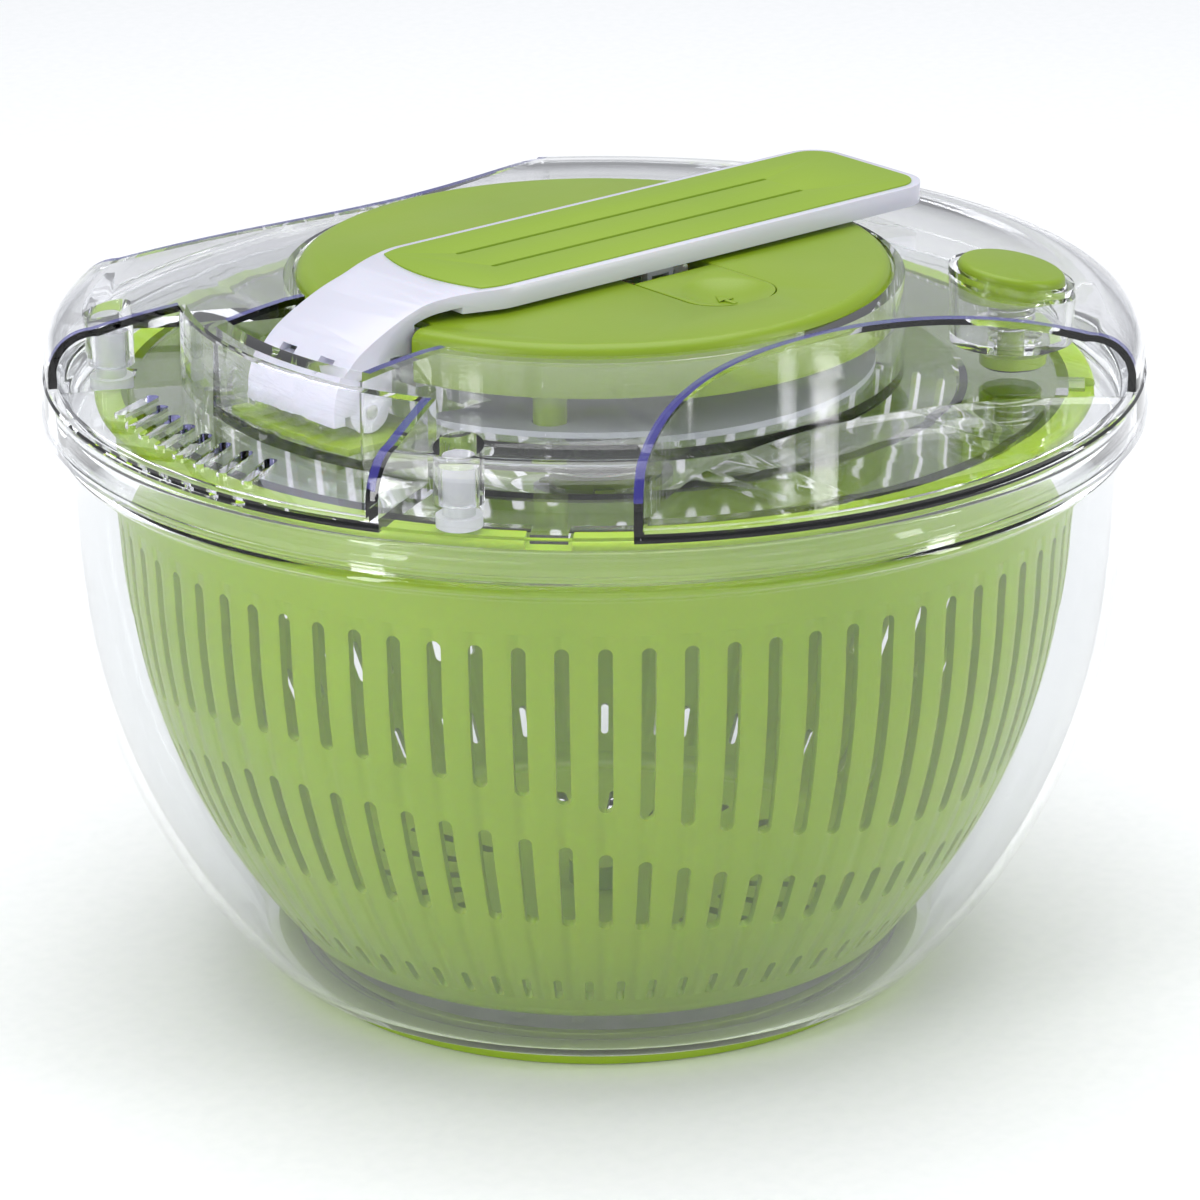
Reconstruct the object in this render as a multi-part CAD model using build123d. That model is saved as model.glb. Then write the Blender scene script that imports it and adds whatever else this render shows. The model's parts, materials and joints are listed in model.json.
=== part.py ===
from build123d import *
import os
from math import acos, atan2, cos, degrees, pi, radians, sin, sqrt, tan

# Lever-driven salad spinner: clear bowl and lid, green basket, lever, rack drive and brake.
# Millimetres. The origin is the centre of the foot ring's underside, +Z is up, and +X points
# from the lever's hinge to the lever's tip.

# ---- bowl and basket ---------------------------------------------------------------------
BOWL_R = 125.0            # outer radius of the upright part of the bowl wall
SIDE_ARC_R = 150.0        # radius of the arc that both bowl and basket walls follow
BOWL_WALL = 2.6
BOWL_TURN_Z = 110.0       # above this height the bowl wall is upright
BOWL_FLOOR_Z = 6.0        # underside of the bowl floor
BOWL_RIM_Z = 145.5
RING_R = 75.0             # foot ring, at the table
RING_TOP_Z = 5.8

BASKET_R = 112.5
BASKET_TURN_Z = 112.0
BASKET_WALL = 2.0
BASKET_FLOOR_Z = 13.0
BASKET_RIM_Z = 145.0
SLOT_COUNT = 74
SLOT_WIDTH = 3.3
SLOT_TOP_Z = 118.5
BAND_MID_Z = 73.5         # lower ends of the upper slots, on average
BAND_WAVE = 13.5          # how far the solid band between the slot rows swings up and down
BAND_HEIGHT = 10.5
BAND_PEAK_DEG = 15.0      # where the band is highest, twice round the basket
LOW_ROW_MID_Z = 42.5
LOW_ROW_WAVE = 4.0
SEAM_DEG = 1.2            # the turned wall's seam runs down a rib, clear of every slot

# ---- lid ---------------------------------------------------------------------------------
LID_R = 130.0
LID_WALL = 2.2
SKIRT_Z = 139.0
DECK_Z = 150.0            # floor of the cup, the drain tray and the side scoops
DOME_R = 129.5
DOME_TOP_Z = 172.0
CUP_R = 70.8
POCKET_BACK_R = 91.8
POCKET_HALF = 25.0
SCOOP_R = 104.5
SCOOP_Y = 180.0
SCOOP_X = -2.0
TRAY_R = 98.5
TRAY_HALF_DEG = 27.5
DRAIN_COUNT = 8
PEG_PLACES = ((114.0, 145.0), (114.0, -145.0), (114.0, 35.0))
PEG_R = 3.6

# ---- lever -------------------------------------------------------------------------------
HINGE_X = -79.0
HINGE_Z = 157.0
LEVER_TOP_Z = 180.0
LEVER_UNDER_Z = 175.2
LEVER_TIP_X = 90.0
LEVER_HALF = 21.5
NECK_HALF = 15.5
NECK_START_X = -48.0
PIN_R = 1.6
PIN_GAP = 0.05
KNUCKLE_R = 5.0

# ---- drive -------------------------------------------------------------------------------
MODULE = 1.0
PRESSURE_DEG = 28.0
BACKLASH = 0.16
ADDENDUM = 0.85
DEDENDUM = 1.2
SECTOR_PITCH_R = 30.0
PINION_TEETH = 10
WHEEL_TEETH = 52
CLUTCH_TEETH = 20
MESH_DEG = 13.2           # direction from the hinge to the rack pinion
RACK_PITCH_Y = 13.0
WHEEL_Z = 152.2
WHEEL_FACE = 2.2
RACK_Z = 155.2
RACK_H = 3.5
SPINDLE_R = 2.5

COVER_R = 70.0
COVER_TOP_Z = 174.0
COVER_WALL = 2.2
COVER_SKIRT_Z = 161.0
COVER_SCREWS = ((58.0, 100.0), (58.0, 220.0), (58.0, 320.0))

PLATE_R = 109.0
PLATE_Z = 143.5
PLATE_T = 2.0
LUG_COUNT = 4

# ---- brake and lever lock ----------------------------------------------------------------
BUTTON_R = 12.6
BUTTON_PLACE = (98.0, -42.5)
BRAKE_TRAVEL = 2.6        # the pad stops 0.2 above the plate
SHOE_Z = PLATE_Z + PLATE_T + BRAKE_TRAVEL + 0.8
LOCK_X0, LOCK_X1 = -7.0, 17.0
LOCK_Y0, LOCK_Y1 = -50.5, -23.0
LOCK_LOW_Z = 169.3
CATCH_Y0, CATCH_Y1 = -18.2, -16.0    # the lever's catch, which the slider's tongue enters
LOCK_OPENING_Y = -13.5

PINION_X = HINGE_X + (SECTOR_PITCH_R + 5 * MODULE) * cos(radians(MESH_DEG))
PINION_Z = HINGE_Z + (SECTOR_PITCH_R + 5 * MODULE) * sin(radians(MESH_DEG))
WHEEL_DISTANCE = (WHEEL_TEETH + CLUTCH_TEETH) * MODULE / 2
WHEEL_Y = RACK_PITCH_Y + PINION_TEETH * MODULE / 2
WHEEL_X = sqrt(WHEEL_DISTANCE**2 - WHEEL_Y**2)
RACK_PITCH_Z = PINION_Z - PINION_TEETH * MODULE / 2


# ---- small helpers -----------------------------------------------------------------------
def polar(radius, angle_deg):
    """A point in plan from its radius and direction."""
    return radius * cos(radians(angle_deg)), radius * sin(radians(angle_deg))


def rod(radius, z0, z1, x=0.0, y=0.0):
    """An upright cylinder."""
    return Pos(x, y, z0) * Cylinder(radius, z1 - z0, align=(Align.CENTER, Align.CENTER, Align.MIN))


def tube(outer, inner, z0, z1, x=0.0, y=0.0):
    """An upright tube."""
    return rod(outer, z0, z1, x, y) - rod(inner, z0 - 1, z1 + 1, x, y)


def block(x0, x1, y0, y1, z0, z1):
    """A box between two corners."""
    return Pos((x0 + x1) / 2, (y0 + y1) / 2, (z0 + z1) / 2) * Box(x1 - x0, y1 - y0, z1 - z0)


def cross_rod(radius, y0, y1, x, z):
    """A cylinder that lies along Y."""
    return Pos(x, (y0 + y1) / 2, z) * Rot(90, 0, 0) * Cylinder(radius, y1 - y0)


def turned(edges):
    """A solid turned about Z from edges in the XZ plane."""
    wire = Wire(edges)
    return revolve(Face(wire), Axis.Z)


def line(*points):
    """Straight edges through (radius or x, z) points in the XZ plane."""
    at = [Vector(x, 0, z) for x, z in points]
    return [Edge.make_line(a, b) for a, b in zip(at, at[1:])]


def arc(start, middle, end):
    """An arc through three (x, z) points in the XZ plane."""
    return Edge.make_three_point_arc(*[Vector(x, 0, z) for x, z in (start, middle, end)])


def side_wall(z, top_r, turn_z, arc_r):
    """Outer radius of a wall that is upright above turn_z and follows an arc below it."""
    return top_r - arc_r + sqrt(arc_r**2 - min(0.0, z - turn_z) ** 2)


# ---- bowl --------------------------------------------------------------------------------
def wall_arc(top_r, turn_z, arc_r, z0, z1):
    """The wall's arc between two heights, both at or below turn_z."""
    heights = (z0, (z0 + z1) / 2, z1)
    return arc(*[(side_wall(z, top_r, turn_z, arc_r), z) for z in heights])


def make_bowl():
    floor_in = BOWL_FLOOR_Z + BOWL_WALL
    inner_r = BOWL_R - BOWL_WALL
    inner_arc = SIDE_ARC_R - BOWL_WALL
    low_out = side_wall(BOWL_FLOOR_Z, BOWL_R, BOWL_TURN_Z, SIDE_ARC_R)
    low_in = side_wall(floor_in, inner_r, BOWL_TURN_Z, inner_arc)
    neck_out = BOWL_R + 1.6
    edges = line((0, floor_in), (0, BOWL_FLOOR_Z), (low_out, BOWL_FLOOR_Z))
    edges.append(wall_arc(BOWL_R, BOWL_TURN_Z, SIDE_ARC_R, BOWL_FLOOR_Z, BOWL_TURN_Z))
    edges += line((BOWL_R, BOWL_TURN_Z), (BOWL_R, 133.6), (127.2, 134.8))
    edges.append(arc((127.2, 134.8), (127.8, 136.0), (127.2, 137.2)))
    edges += line((127.2, 137.2), (neck_out, 137.8), (neck_out, BOWL_RIM_Z))
    edges += line((neck_out, BOWL_RIM_Z), (neck_out - BOWL_WALL, BOWL_RIM_Z))
    edges += line((neck_out - BOWL_WALL, BOWL_RIM_Z), (neck_out - BOWL_WALL, 137.4), (inner_r, 134.0))
    edges += line((inner_r, 134.0), (inner_r, BOWL_TURN_Z))
    edges.append(wall_arc(inner_r, BOWL_TURN_Z, inner_arc, BOWL_TURN_Z, floor_in))
    edges += line((low_in, floor_in), (0, floor_in))
    bowl = turned(edges)
    bowl += tube(73.6, 71.4, 2.6, BOWL_FLOOR_Z + 0.1)
    bowl += tube(9.0, 4.0, floor_in - 0.1, floor_in + 2.4)
    return bowl - rod(4.0, floor_in - 1.0, floor_in + 3)


def make_foot_ring():
    edges = line((68.6, 0.8), (69.4, 0), (RING_R - 1.2, 0))
    edges.append(arc((RING_R - 1.2, 0), (RING_R - 0.2, 0.3), (RING_R + 0.3, 1.2)))
    edges += line((RING_R + 0.3, 1.2), (RING_R + 4.2, RING_TOP_Z), (68.6, RING_TOP_Z), (68.6, 0.8))
    return turned(edges) - tube(73.8, 71.2, 2.4, RING_TOP_Z + 1)


def make_pivot_pin():
    floor_in = BOWL_FLOOR_Z + BOWL_WALL
    pin = rod(3.98, floor_in - 1.0, floor_in + 2.4) + rod(2.4, floor_in, 17.6)
    return pin + Pos(0, 0, 17.0) * Sphere(2.4)


# ---- basket ------------------------------------------------------------------------------
def basket_radius(z):
    taper = max(0.0, z - BASKET_TURN_Z) * 0.045
    return side_wall(z, BASKET_R, BASKET_TURN_Z, SIDE_ARC_R) + taper


def band_low(angle_deg):
    """Height where the upper slots end: two waves round the basket."""
    return BAND_MID_Z + BAND_WAVE * cos(2 * radians(angle_deg - BAND_PEAK_DEG))


def basket_slot(angle_deg, z0, z1, width, tilt_deg):
    """A round-ended cutter that points outwards through the basket wall."""
    radius = basket_radius((z0 + z1) / 2)
    length = max(z1 - z0, width + 0.2)
    cutter = extrude(SlotOverall(length, width), 16, both=True)
    place = Rot(0, 0, angle_deg) * Pos(radius, 0, (z0 + z1) / 2)
    return place * Rot(0, 90 + tilt_deg, 0) * cutter


def make_basket():
    inner_arc = SIDE_ARC_R - BASKET_WALL
    inner_r = BASKET_R - BASKET_WALL
    floor_in = BASKET_FLOOR_Z + BASKET_WALL
    bend_z = BASKET_FLOOR_Z + 3.4
    bend_r = basket_radius(bend_z)
    in_z = floor_in + 3.0
    in_r = side_wall(in_z, inner_r, BASKET_TURN_Z, inner_arc)
    lip_r = basket_radius(BASKET_RIM_Z)
    top_in = lip_r - BASKET_WALL
    edges = line((0, floor_in), (0, BASKET_FLOOR_Z), (bend_r - 7.0, BASKET_FLOOR_Z))
    edges.append(arc((bend_r - 7.0, BASKET_FLOOR_Z), (bend_r - 2.2, BASKET_FLOOR_Z + 0.9), (bend_r, bend_z)))
    edges.append(wall_arc(BASKET_R, BASKET_TURN_Z, SIDE_ARC_R, bend_z, BASKET_TURN_Z))
    edges += line((BASKET_R, BASKET_TURN_Z), (lip_r - 0.15, BASKET_RIM_Z - 3.4))
    edges += line((lip_r - 0.15, BASKET_RIM_Z - 3.4), (lip_r + 3.0, BASKET_RIM_Z - 2.6))
    edges.append(arc((lip_r + 3.0, BASKET_RIM_Z - 2.6), (lip_r + 4.1, BASKET_RIM_Z - 1.3), (lip_r + 3.0, BASKET_RIM_Z)))
    edges += line((lip_r + 3.0, BASKET_RIM_Z), (top_in, BASKET_RIM_Z), (inner_r, BASKET_TURN_Z))
    edges.append(wall_arc(inner_r, BASKET_TURN_Z, inner_arc, BASKET_TURN_Z, in_z))
    edges.append(arc((in_r, in_z), (in_r - 1.9, floor_in + 0.7), (in_r - 6.0, floor_in)))
    edges += line((in_r - 6.0, floor_in), (0, floor_in))
    shell = Rot(0, 0, SEAM_DEG) * turned(edges)
    cutters = []
    for i in range(SLOT_COUNT):
        angle = -129.0 + i * 360 / SLOT_COUNT
        upper_end = band_low(angle)
        low_top = upper_end - BAND_HEIGHT
        low_end = LOW_ROW_MID_Z + LOW_ROW_WAVE * cos(2 * radians(angle - BAND_PEAK_DEG))
        cutters.append(basket_slot(angle, upper_end, SLOT_TOP_Z, SLOT_WIDTH, 4))
        cutters.append(basket_slot(angle, low_end, low_top, SLOT_WIDTH - 0.2, 22))
        cutters.append(basket_slot(angle + 180 / SLOT_COUNT, 19.5, 28.0, 1.9, 38))
    for i in range(24):
        floor_slot = extrude(SlotOverall(26, 3.2), 6, both=True)
        cutters.append(Rot(0, 0, 15 * i) * Pos(44, 0, BASKET_FLOOR_Z) * floor_slot)
    for i in range(LUG_COUNT):
        notch = block(105, 121, -5.2, 5.2, PLATE_Z - 0.5, BASKET_RIM_Z + 1)
        cutters.append(Rot(0, 0, 45 + 360 / LUG_COUNT * i) * notch)
    shell = shell.cut(*cutters)
    hub = rod(7.0, BASKET_FLOOR_Z + 0.4, 21.0)
    return shell + hub - rod(4.6, 10.0, 19.5)


def make_pivot_bush():
    return tube(4.6, 2.46, 11.4, 18.2) + tube(6.6, 2.46, 11.4, 12.8)


# ---- lid ---------------------------------------------------------------------------------
def dome(inset):
    """The lid's envelope with no recesses; inset moves its skin inwards."""
    wall = DOME_R - inset
    top = DOME_TOP_Z - inset
    low = 120.0 if inset else SKIRT_Z
    foot = LID_R - (inset + 0.6 if inset else 0)
    shoulder = (wall - 10.5 + inset * 0.2, 164.9 - inset)
    corner = (wall - 2.9 + inset * 0.2, 161.6 - inset * 0.75)
    edges = line((0, top), (0, low), (foot, low), (foot, DECK_Z - 0.6), (wall, DECK_Z), (wall, 155.0))
    edges.append(arc((wall, 155.0), corner, shoulder))
    edges.append(arc(shoulder, (99.0, 169.3 - inset), (76.0, top)))
    edges += line((76.0, top), (0, top))
    return turned(edges)


def recesses(inflate):
    """Cup, hinge pocket, drain tray and side scoops; inflate gives the far side of their walls."""
    floor = DECK_Z - inflate
    top = DOME_TOP_Z + 20
    cut = [rod(CUP_R + inflate, floor, top)]
    reach = POCKET_BACK_R + inflate
    half = POCKET_HALF + inflate
    cut.append(rod(reach, floor, top) & block(-reach - 1, 0, -half, half, floor, top))
    for side in (-1, 1):
        cut.append(rod(SCOOP_R + inflate, floor, top, SCOOP_X, side * SCOOP_Y))
    wedge_back = inflate / sin(radians(TRAY_HALF_DEG))
    far_x = -190.0
    far_y = (wedge_back - far_x) * tan(radians(TRAY_HALF_DEG))
    outline = Polyline((wedge_back, 0), (far_x, far_y), (far_x, -far_y), close=True)
    tray = extrude(Pos(0, 0, floor) * make_face(outline), top - floor)
    cut.append(tray - rod(TRAY_R - inflate, floor - 1, top + 1))
    return cut


def drain_slot(i):
    """One of the slanting slots in the tray's floor."""
    share = i / (DRAIN_COUNT - 1)
    x, y = polar(111.5, 159.0 + 29.0 * share)
    cutter = extrude(SlotOverall(16.5, 3.0), 4, both=True)
    return Pos(x, y, DECK_Z) * Rot(0, 0, 202.0 + 9.0 * share) * cutter


def make_lid():
    outside = dome(0.0).cut(*recesses(0.0))
    inside = dome(LID_WALL).cut(*recesses(LID_WALL))
    lid = outside - inside
    lid += tube(DOME_R, DOME_R - 2.2, DECK_Z - 0.8, DECK_Z + 1.2)
    lid += tube(LID_R + 0.5, LID_R - 1.5, SKIRT_Z + 0.6, SKIRT_Z + 2.2)
    lid += tube(11.0, 9.0, 128.0, DECK_Z - 1.0)
    lid += tube(11.0, 5.0, 128.0, 133.5)
    for radius, angle in PEG_PLACES:
        x, y = polar(radius, angle)
        lid += rod(PEG_R + 2.0, 152.0, DOME_TOP_Z, x, y) & dome(0.4)
    bx, by = polar(*BUTTON_PLACE)
    raised = Pos(0, 0, 1.6) * dome(0.0)
    lid += rod(BUTTON_R + 2.2, 155.0, DOME_TOP_Z + 4, bx, by) & raised
    lid += rod(5.6, 152.0, 156.5, bx, by)
    cuts = [rod(BUTTON_R + 0.35, 156.5, DOME_TOP_Z + 8, bx, by), rod(3.3, 145.0, 160.0, bx, by)]
    cuts.append(rod(9.0, 133.5, DECK_Z + 3))
    cuts += [rod(PEG_R, 140.0, 160.0, *polar(r, a)) for r, a in PEG_PLACES]
    cuts += [drain_slot(i) for i in range(DRAIN_COUNT)]
    cuts += [rod(1.7, DECK_Z - 5, DECK_Z + 3, *polar(r, a)) for r, a in COVER_SCREWS]
    return lid.cut(*cuts)


def make_guide_peg(radius, angle):
    x, y = polar(radius, angle)
    return rod(PEG_R, 149.0, 160.0, x, y) + rod(PEG_R + 1.6, 146.2, 149.0, x, y)


# ---- lever -------------------------------------------------------------------------------
def lever_side(inset, low_z):
    """Side view of the lever between its top line and the floor low_z, as a solid slab."""
    top = LEVER_TOP_Z - inset
    half_w = NECK_START_X - HINGE_X + 9.5 - inset
    half_h = top - HINGE_Z
    mid = (NECK_START_X - half_w * cos(radians(45)), HINGE_Z + half_h * sin(radians(45)))
    neck = Edge.make_spline(
        [Vector(NECK_START_X, 0, top), Vector(mid[0], 0, mid[1]), Vector(NECK_START_X - half_w, 0, HINGE_Z)],
        tangents=[Vector(-1, 0, 0), Vector(0, 0, -1)],
    )
    tip = LEVER_TIP_X + 1
    edges = line((NECK_START_X - half_w, HINGE_Z), (NECK_START_X - half_w, low_z), (tip, low_z), (tip, top))
    edges += line((tip, top), (NECK_START_X, top))
    face = Face(Wire([*edges, neck]))
    return Pos(0, 30, 0) * extrude(face, 60, dir=(0, -1, 0))


def lever_plan(half, neck_half, tip_x, corner):
    """Plan view of the lever, as an upright prism."""
    outline = Polyline(
        (-95, -neck_half), (-62, -neck_half), (-44, -half), (tip_x, -half),
        (tip_x, half), (-44, half), (-62, neck_half), (-95, neck_half), close=True,
    )
    prism = extrude(make_face(outline), 60)
    tips = prism.edges().filter_by(Axis.Z).sort_by(Axis.X)[-2:]
    prism = fillet(tips, corner)
    waist = [e for e in prism.edges().filter_by(Axis.Z) if -63 < e.center().X < -43]
    prism = fillet(waist, 16.0)
    return Pos(0, 0, 140) * prism


def make_lever():
    outline = lever_plan(LEVER_HALF, NECK_HALF, LEVER_TIP_X, 9.0)
    skin = lever_side(0.0, HINGE_Z - 2) & outline
    arm_hollow = block(-55, LEVER_TIP_X + 5, -30, 30, 140, LEVER_UNDER_Z)
    neck_hollow = lever_side(3.0, HINGE_Z - 4) & block(-95, -54, -30, 30, 140, 177.0)
    arm = skin - arm_hollow
    ears = skin & (block(-95, -66, -NECK_HALF, -3.5, 150, 178) + block(-95, -66, 12.8, NECK_HALF, 150, 178))
    ears = ears - block(-95, -50, -30, 30, 140, HINGE_Z)
    inner_ear = block(-73, -60, -30, 30, 140, 168)
    ears = ears - inner_ear
    lever = (arm - neck_hollow) + ears
    lever += cross_rod(KNUCKLE_R, -NECK_HALF, -3.5, HINGE_X, HINGE_Z)
    lever += cross_rod(KNUCKLE_R, 12.8, NECK_HALF, HINGE_X, HINGE_Z)
    lever -= cross_rod(PIN_R + PIN_GAP, -30, 30, HINGE_X, HINGE_Z)
    for y in (-7.0, 7.0):
        lever -= block(-90, -80, y - 2.6, y + 2.6, 166.4, 168.4)
    lever -= pad_seat(1.2)
    catch = block(1.0, 9.0, CATCH_Y0, CATCH_Y1, LOCK_LOW_Z, LEVER_UNDER_Z + 0.1)
    return lever + (catch - block(2.4, 7.6, CATCH_Y0 - 1, CATCH_Y1 + 1, 170.8, 172.8))


def pad_seat(depth):
    """The shallow tray in the lever's top that the soft pad fills; its root edge is an arc."""
    plan = lever_plan(LEVER_HALF - 2.1, NECK_HALF - 2.1, LEVER_TIP_X - 2.1, 7.0)
    slab = plan & block(-80, 100, -30, 30, LEVER_TOP_Z - depth, LEVER_TOP_Z + 5)
    root = rod(46.0, 170, 190, -6.0, 0) + block(-6, 100, -30, 30, 170, 190)
    return slab & root


def make_lever_pad():
    pad = pad_seat(1.2) & block(-80, 100, -30, 30, 170, LEVER_TOP_Z + 0.35)
    for y in (-6.5, 6.5):
        groove = extrude(SlotOverall(96, 1.3), 3, both=True)
        pad -= Pos(12, y, LEVER_TOP_Z + 2.6) * groove
    return pad


def make_hinge_pin():
    return cross_rod(PIN_R, -NECK_HALF - 0.4, 20.2, HINGE_X, HINGE_Z)


def make_lever_spring():
    """Torsion spring on the hinge pin: a coil with a leg down to the bracket."""
    wire = 0.7
    coil_r = 4.3
    turns = 5
    pitch = 1.7
    helix = Helix(pitch, pitch * turns, coil_r)
    coil = sweep(Plane(origin=helix @ 0, z_dir=helix % 0) * Circle(wire), helix)
    coil = Pos(HINGE_X, 12.0, HINGE_Z) * Rot(90, 0, 0) * coil
    return coil + rod(wire, 151.9, HINGE_Z, HINGE_X + coil_r, 12.0)


# ---- gears -------------------------------------------------------------------------------
def involute(angle):
    return tan(angle) - angle


def flank_half_angle(radius, pitch_r):
    """Half the tooth's angle at a radius on the involute."""
    base = pitch_r * cos(radians(PRESSURE_DEG))
    at_pitch = (pi * MODULE / 2 - BACKLASH) / 2 / pitch_r
    press = acos(min(1.0, base / radius))
    return at_pitch + involute(radians(PRESSURE_DEG)) - involute(press)


def tooth_points(pitch_r, centre):
    """One tooth's outline from root to root, as (x, y) points round the direction centre."""
    root = pitch_r - DEDENDUM * MODULE
    tip = pitch_r + ADDENDUM * MODULE
    base = pitch_r * cos(radians(PRESSURE_DEG))
    start = max(root, base)
    radii = [start + (tip - start) * k / 4 for k in range(5)]
    rising = [(r, -flank_half_angle(r, pitch_r)) for r in radii]
    if root < base:
        rising.insert(0, (root, -flank_half_angle(start, pitch_r)))
    falling = [(r, -a) for r, a in reversed(rising)]
    return [(r * cos(centre + a), r * sin(centre + a)) for r, a in rising + falling]


def spur_gear(teeth, face_w, phase_deg):
    """A spur gear on Z, with one tooth centred on the direction phase_deg."""
    pitch_r = teeth * MODULE / 2
    points = []
    for i in range(teeth):
        points += tooth_points(pitch_r, radians(phase_deg) + 2 * pi * i / teeth)
    return extrude(make_face(Polyline(*points, close=True)), face_w)


def make_drive_sector(lever):
    """The lever's toothed sector, upright in the XZ plane, joined into the lever's neck."""
    step = pi * MODULE / SECTOR_PITCH_R
    points = []
    for k in range(-3, 2):
        points += tooth_points(SECTOR_PITCH_R, radians(MESH_DEG) + k * step)
    top = radians(52)
    points.append((SECTOR_PITCH_R * cos(top), SECTOR_PITCH_R * sin(top)))
    points.append((23 * cos(top), 23 * sin(top)))
    for k in range(1, 8):
        turn = top + (radians(-7.4) - top) * k / 7
        points.append((23 * cos(turn), 23 * sin(turn)))
    upright = Plane(origin=(HINGE_X, 3.0, HINGE_Z), x_dir=(1, 0, 0), z_dir=(0, -1, 0))
    sector = extrude(upright * make_face(Polyline(*points, close=True)), 6.0)
    return (sector - lever).solids().sort_by(SortBy.VOLUME)[-1]


def make_rack_pinion():
    """Long pinion on a lying axle: the sector turns one end, and the other moves the rack."""
    phase = 180 + MESH_DEG + 180 / PINION_TEETH
    gear = spur_gear(PINION_TEETH, 17.4, phase)
    upright = Plane(origin=(PINION_X, 13.4, PINION_Z), x_dir=(1, 0, 0), z_dir=(0, -1, 0))
    gear = upright * gear
    return gear - cross_rod(1.55, -20, 30, PINION_X, PINION_Z)


def make_pinion_axle():
    return cross_rod(1.5, -9.0, 17.5, PINION_X, PINION_Z)


def rack_teeth(centre, count, top):
    """A row of straight-sided teeth on a thin strip, as a face; top is the pitch line's height."""
    base = top - DEDENDUM - 0.8
    slope = tan(radians(PRESSURE_DEG))
    half = (pi * MODULE / 2 - BACKLASH) / 2
    points = [(centre - count / 2 * pi * MODULE, base)]
    for i in range(count):
        mid = centre + (i - (count - 1) / 2) * pi * MODULE
        foot = half + DEDENDUM * slope
        crest = half - ADDENDUM * slope
        points += [(mid - foot, top - DEDENDUM), (mid - crest, top + ADDENDUM)]
        points += [(mid + crest, top + ADDENDUM), (mid + foot, top - DEDENDUM)]
    points.append((centre + count / 2 * pi * MODULE, base))
    return make_face(Polyline(*points, close=True))


def make_rack_slider():
    """The rack: teeth on top under the long pinion, teeth on its side at the big wheel."""
    top_root = RACK_PITCH_Z - DEDENDUM
    side_root = RACK_PITCH_Y - DEDENDUM
    bar = block(-49.0, 47.0, 5.6, side_root, RACK_Z, top_root)
    phase = (180 + MESH_DEG + 180 / PINION_TEETH) % 36
    bottom_offset = radians((phase - 270 + 18) % 36 - 18) * PINION_TEETH * MODULE / 2
    top_centre = PINION_X + 5.0 + rack_shift(bottom_offset, 5.0)
    upright = Plane(origin=(0, 11.4, 0), x_dir=(1, 0, 0), z_dir=(0, -1, 0))
    bar += extrude(upright * rack_teeth(top_centre, 7, RACK_PITCH_Z), 5.8)
    side_centre = WHEEL_X + 5.0 + rack_shift(0.0, 5.0)
    side = extrude(rack_teeth(side_centre, 7, RACK_PITCH_Y), RACK_H)
    return bar + Pos(0, 0, RACK_Z) * side


def rack_shift(tooth_offset, centre_offset):
    """Moves a seven-tooth row so that a gap faces the pinion's tooth at tooth_offset."""
    step = pi * MODULE
    want = tooth_offset + step / 2
    return (want - centre_offset) - step * round((want - centre_offset) / step)


def make_wheel_gear():
    """The wheel and its small pinion, one moulding: rack in, clutch gear out."""
    to_clutch = degrees(atan2(-WHEEL_Y, -WHEEL_X))
    wheel = Pos(0, 0, WHEEL_Z) * spur_gear(WHEEL_TEETH, WHEEL_FACE, to_clutch)
    pinion = Pos(0, 0, WHEEL_Z) * spur_gear(PINION_TEETH, RACK_Z + RACK_H - WHEEL_Z, -90.0)
    gear = wheel + pinion + tube(4.0, 1.55, WHEEL_Z - 0.5, WHEEL_Z + 1)
    for i in range(6):
        gear -= Rot(0, 0, 60 * i) * rod(5.0, 150, 160, 15.5, 0)
    return Pos(WHEEL_X, WHEEL_Y, 0) * (gear - rod(1.55, 150, 165))


def make_clutch_gear():
    """Gear on top, plain drum below: the wrap spring grips the drum one way only."""
    to_wheel = degrees(atan2(WHEEL_Y, WHEEL_X))
    phase = to_wheel + 180 / CLUTCH_TEETH
    gear = Pos(0, 0, WHEEL_Z) * spur_gear(CLUTCH_TEETH, WHEEL_FACE, phase)
    return gear + rod(5.9, 143.4, WHEEL_Z + 0.1) - rod(SPINDLE_R + PIN_GAP, 140, 160)


def make_output_drum():
    return tube(5.9, SPINDLE_R, 134.6, 143.1)


def make_clutch_spring():
    helix = Helix(1.05, 12.6, 6.6)
    coil = sweep(Plane(origin=helix @ 0, z_dir=helix % 0) * Circle(0.45), helix)
    return Pos(0, 0, 136.4) * coil


def make_spindle():
    return rod(SPINDLE_R, 118.2, 157.2) - tube(4.0, 2.1, 155.4, 156.1)


def make_retaining_clip():
    ring = tube(4.4, 2.12, 155.45, 156.05)
    return ring - block(0, 6, -1.2, 1.2, 154, 158)


def make_spindle_bush():
    return tube(5.0, SPINDLE_R + PIN_GAP, 127.0, 134.0) + tube(7.6, SPINDLE_R + PIN_GAP, 126.2, 128.0)


def make_coupler():
    body = rod(10.9, 119.0, 125.4) + rod(14.6, 117.6, 119.4)
    for i in range(3):
        body += Rot(0, 0, 120 * i) * block(9, 13.2, -2.4, 2.4, 119.0, 122.6)
    return body - rod(SPINDLE_R, 110, 130)


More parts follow.
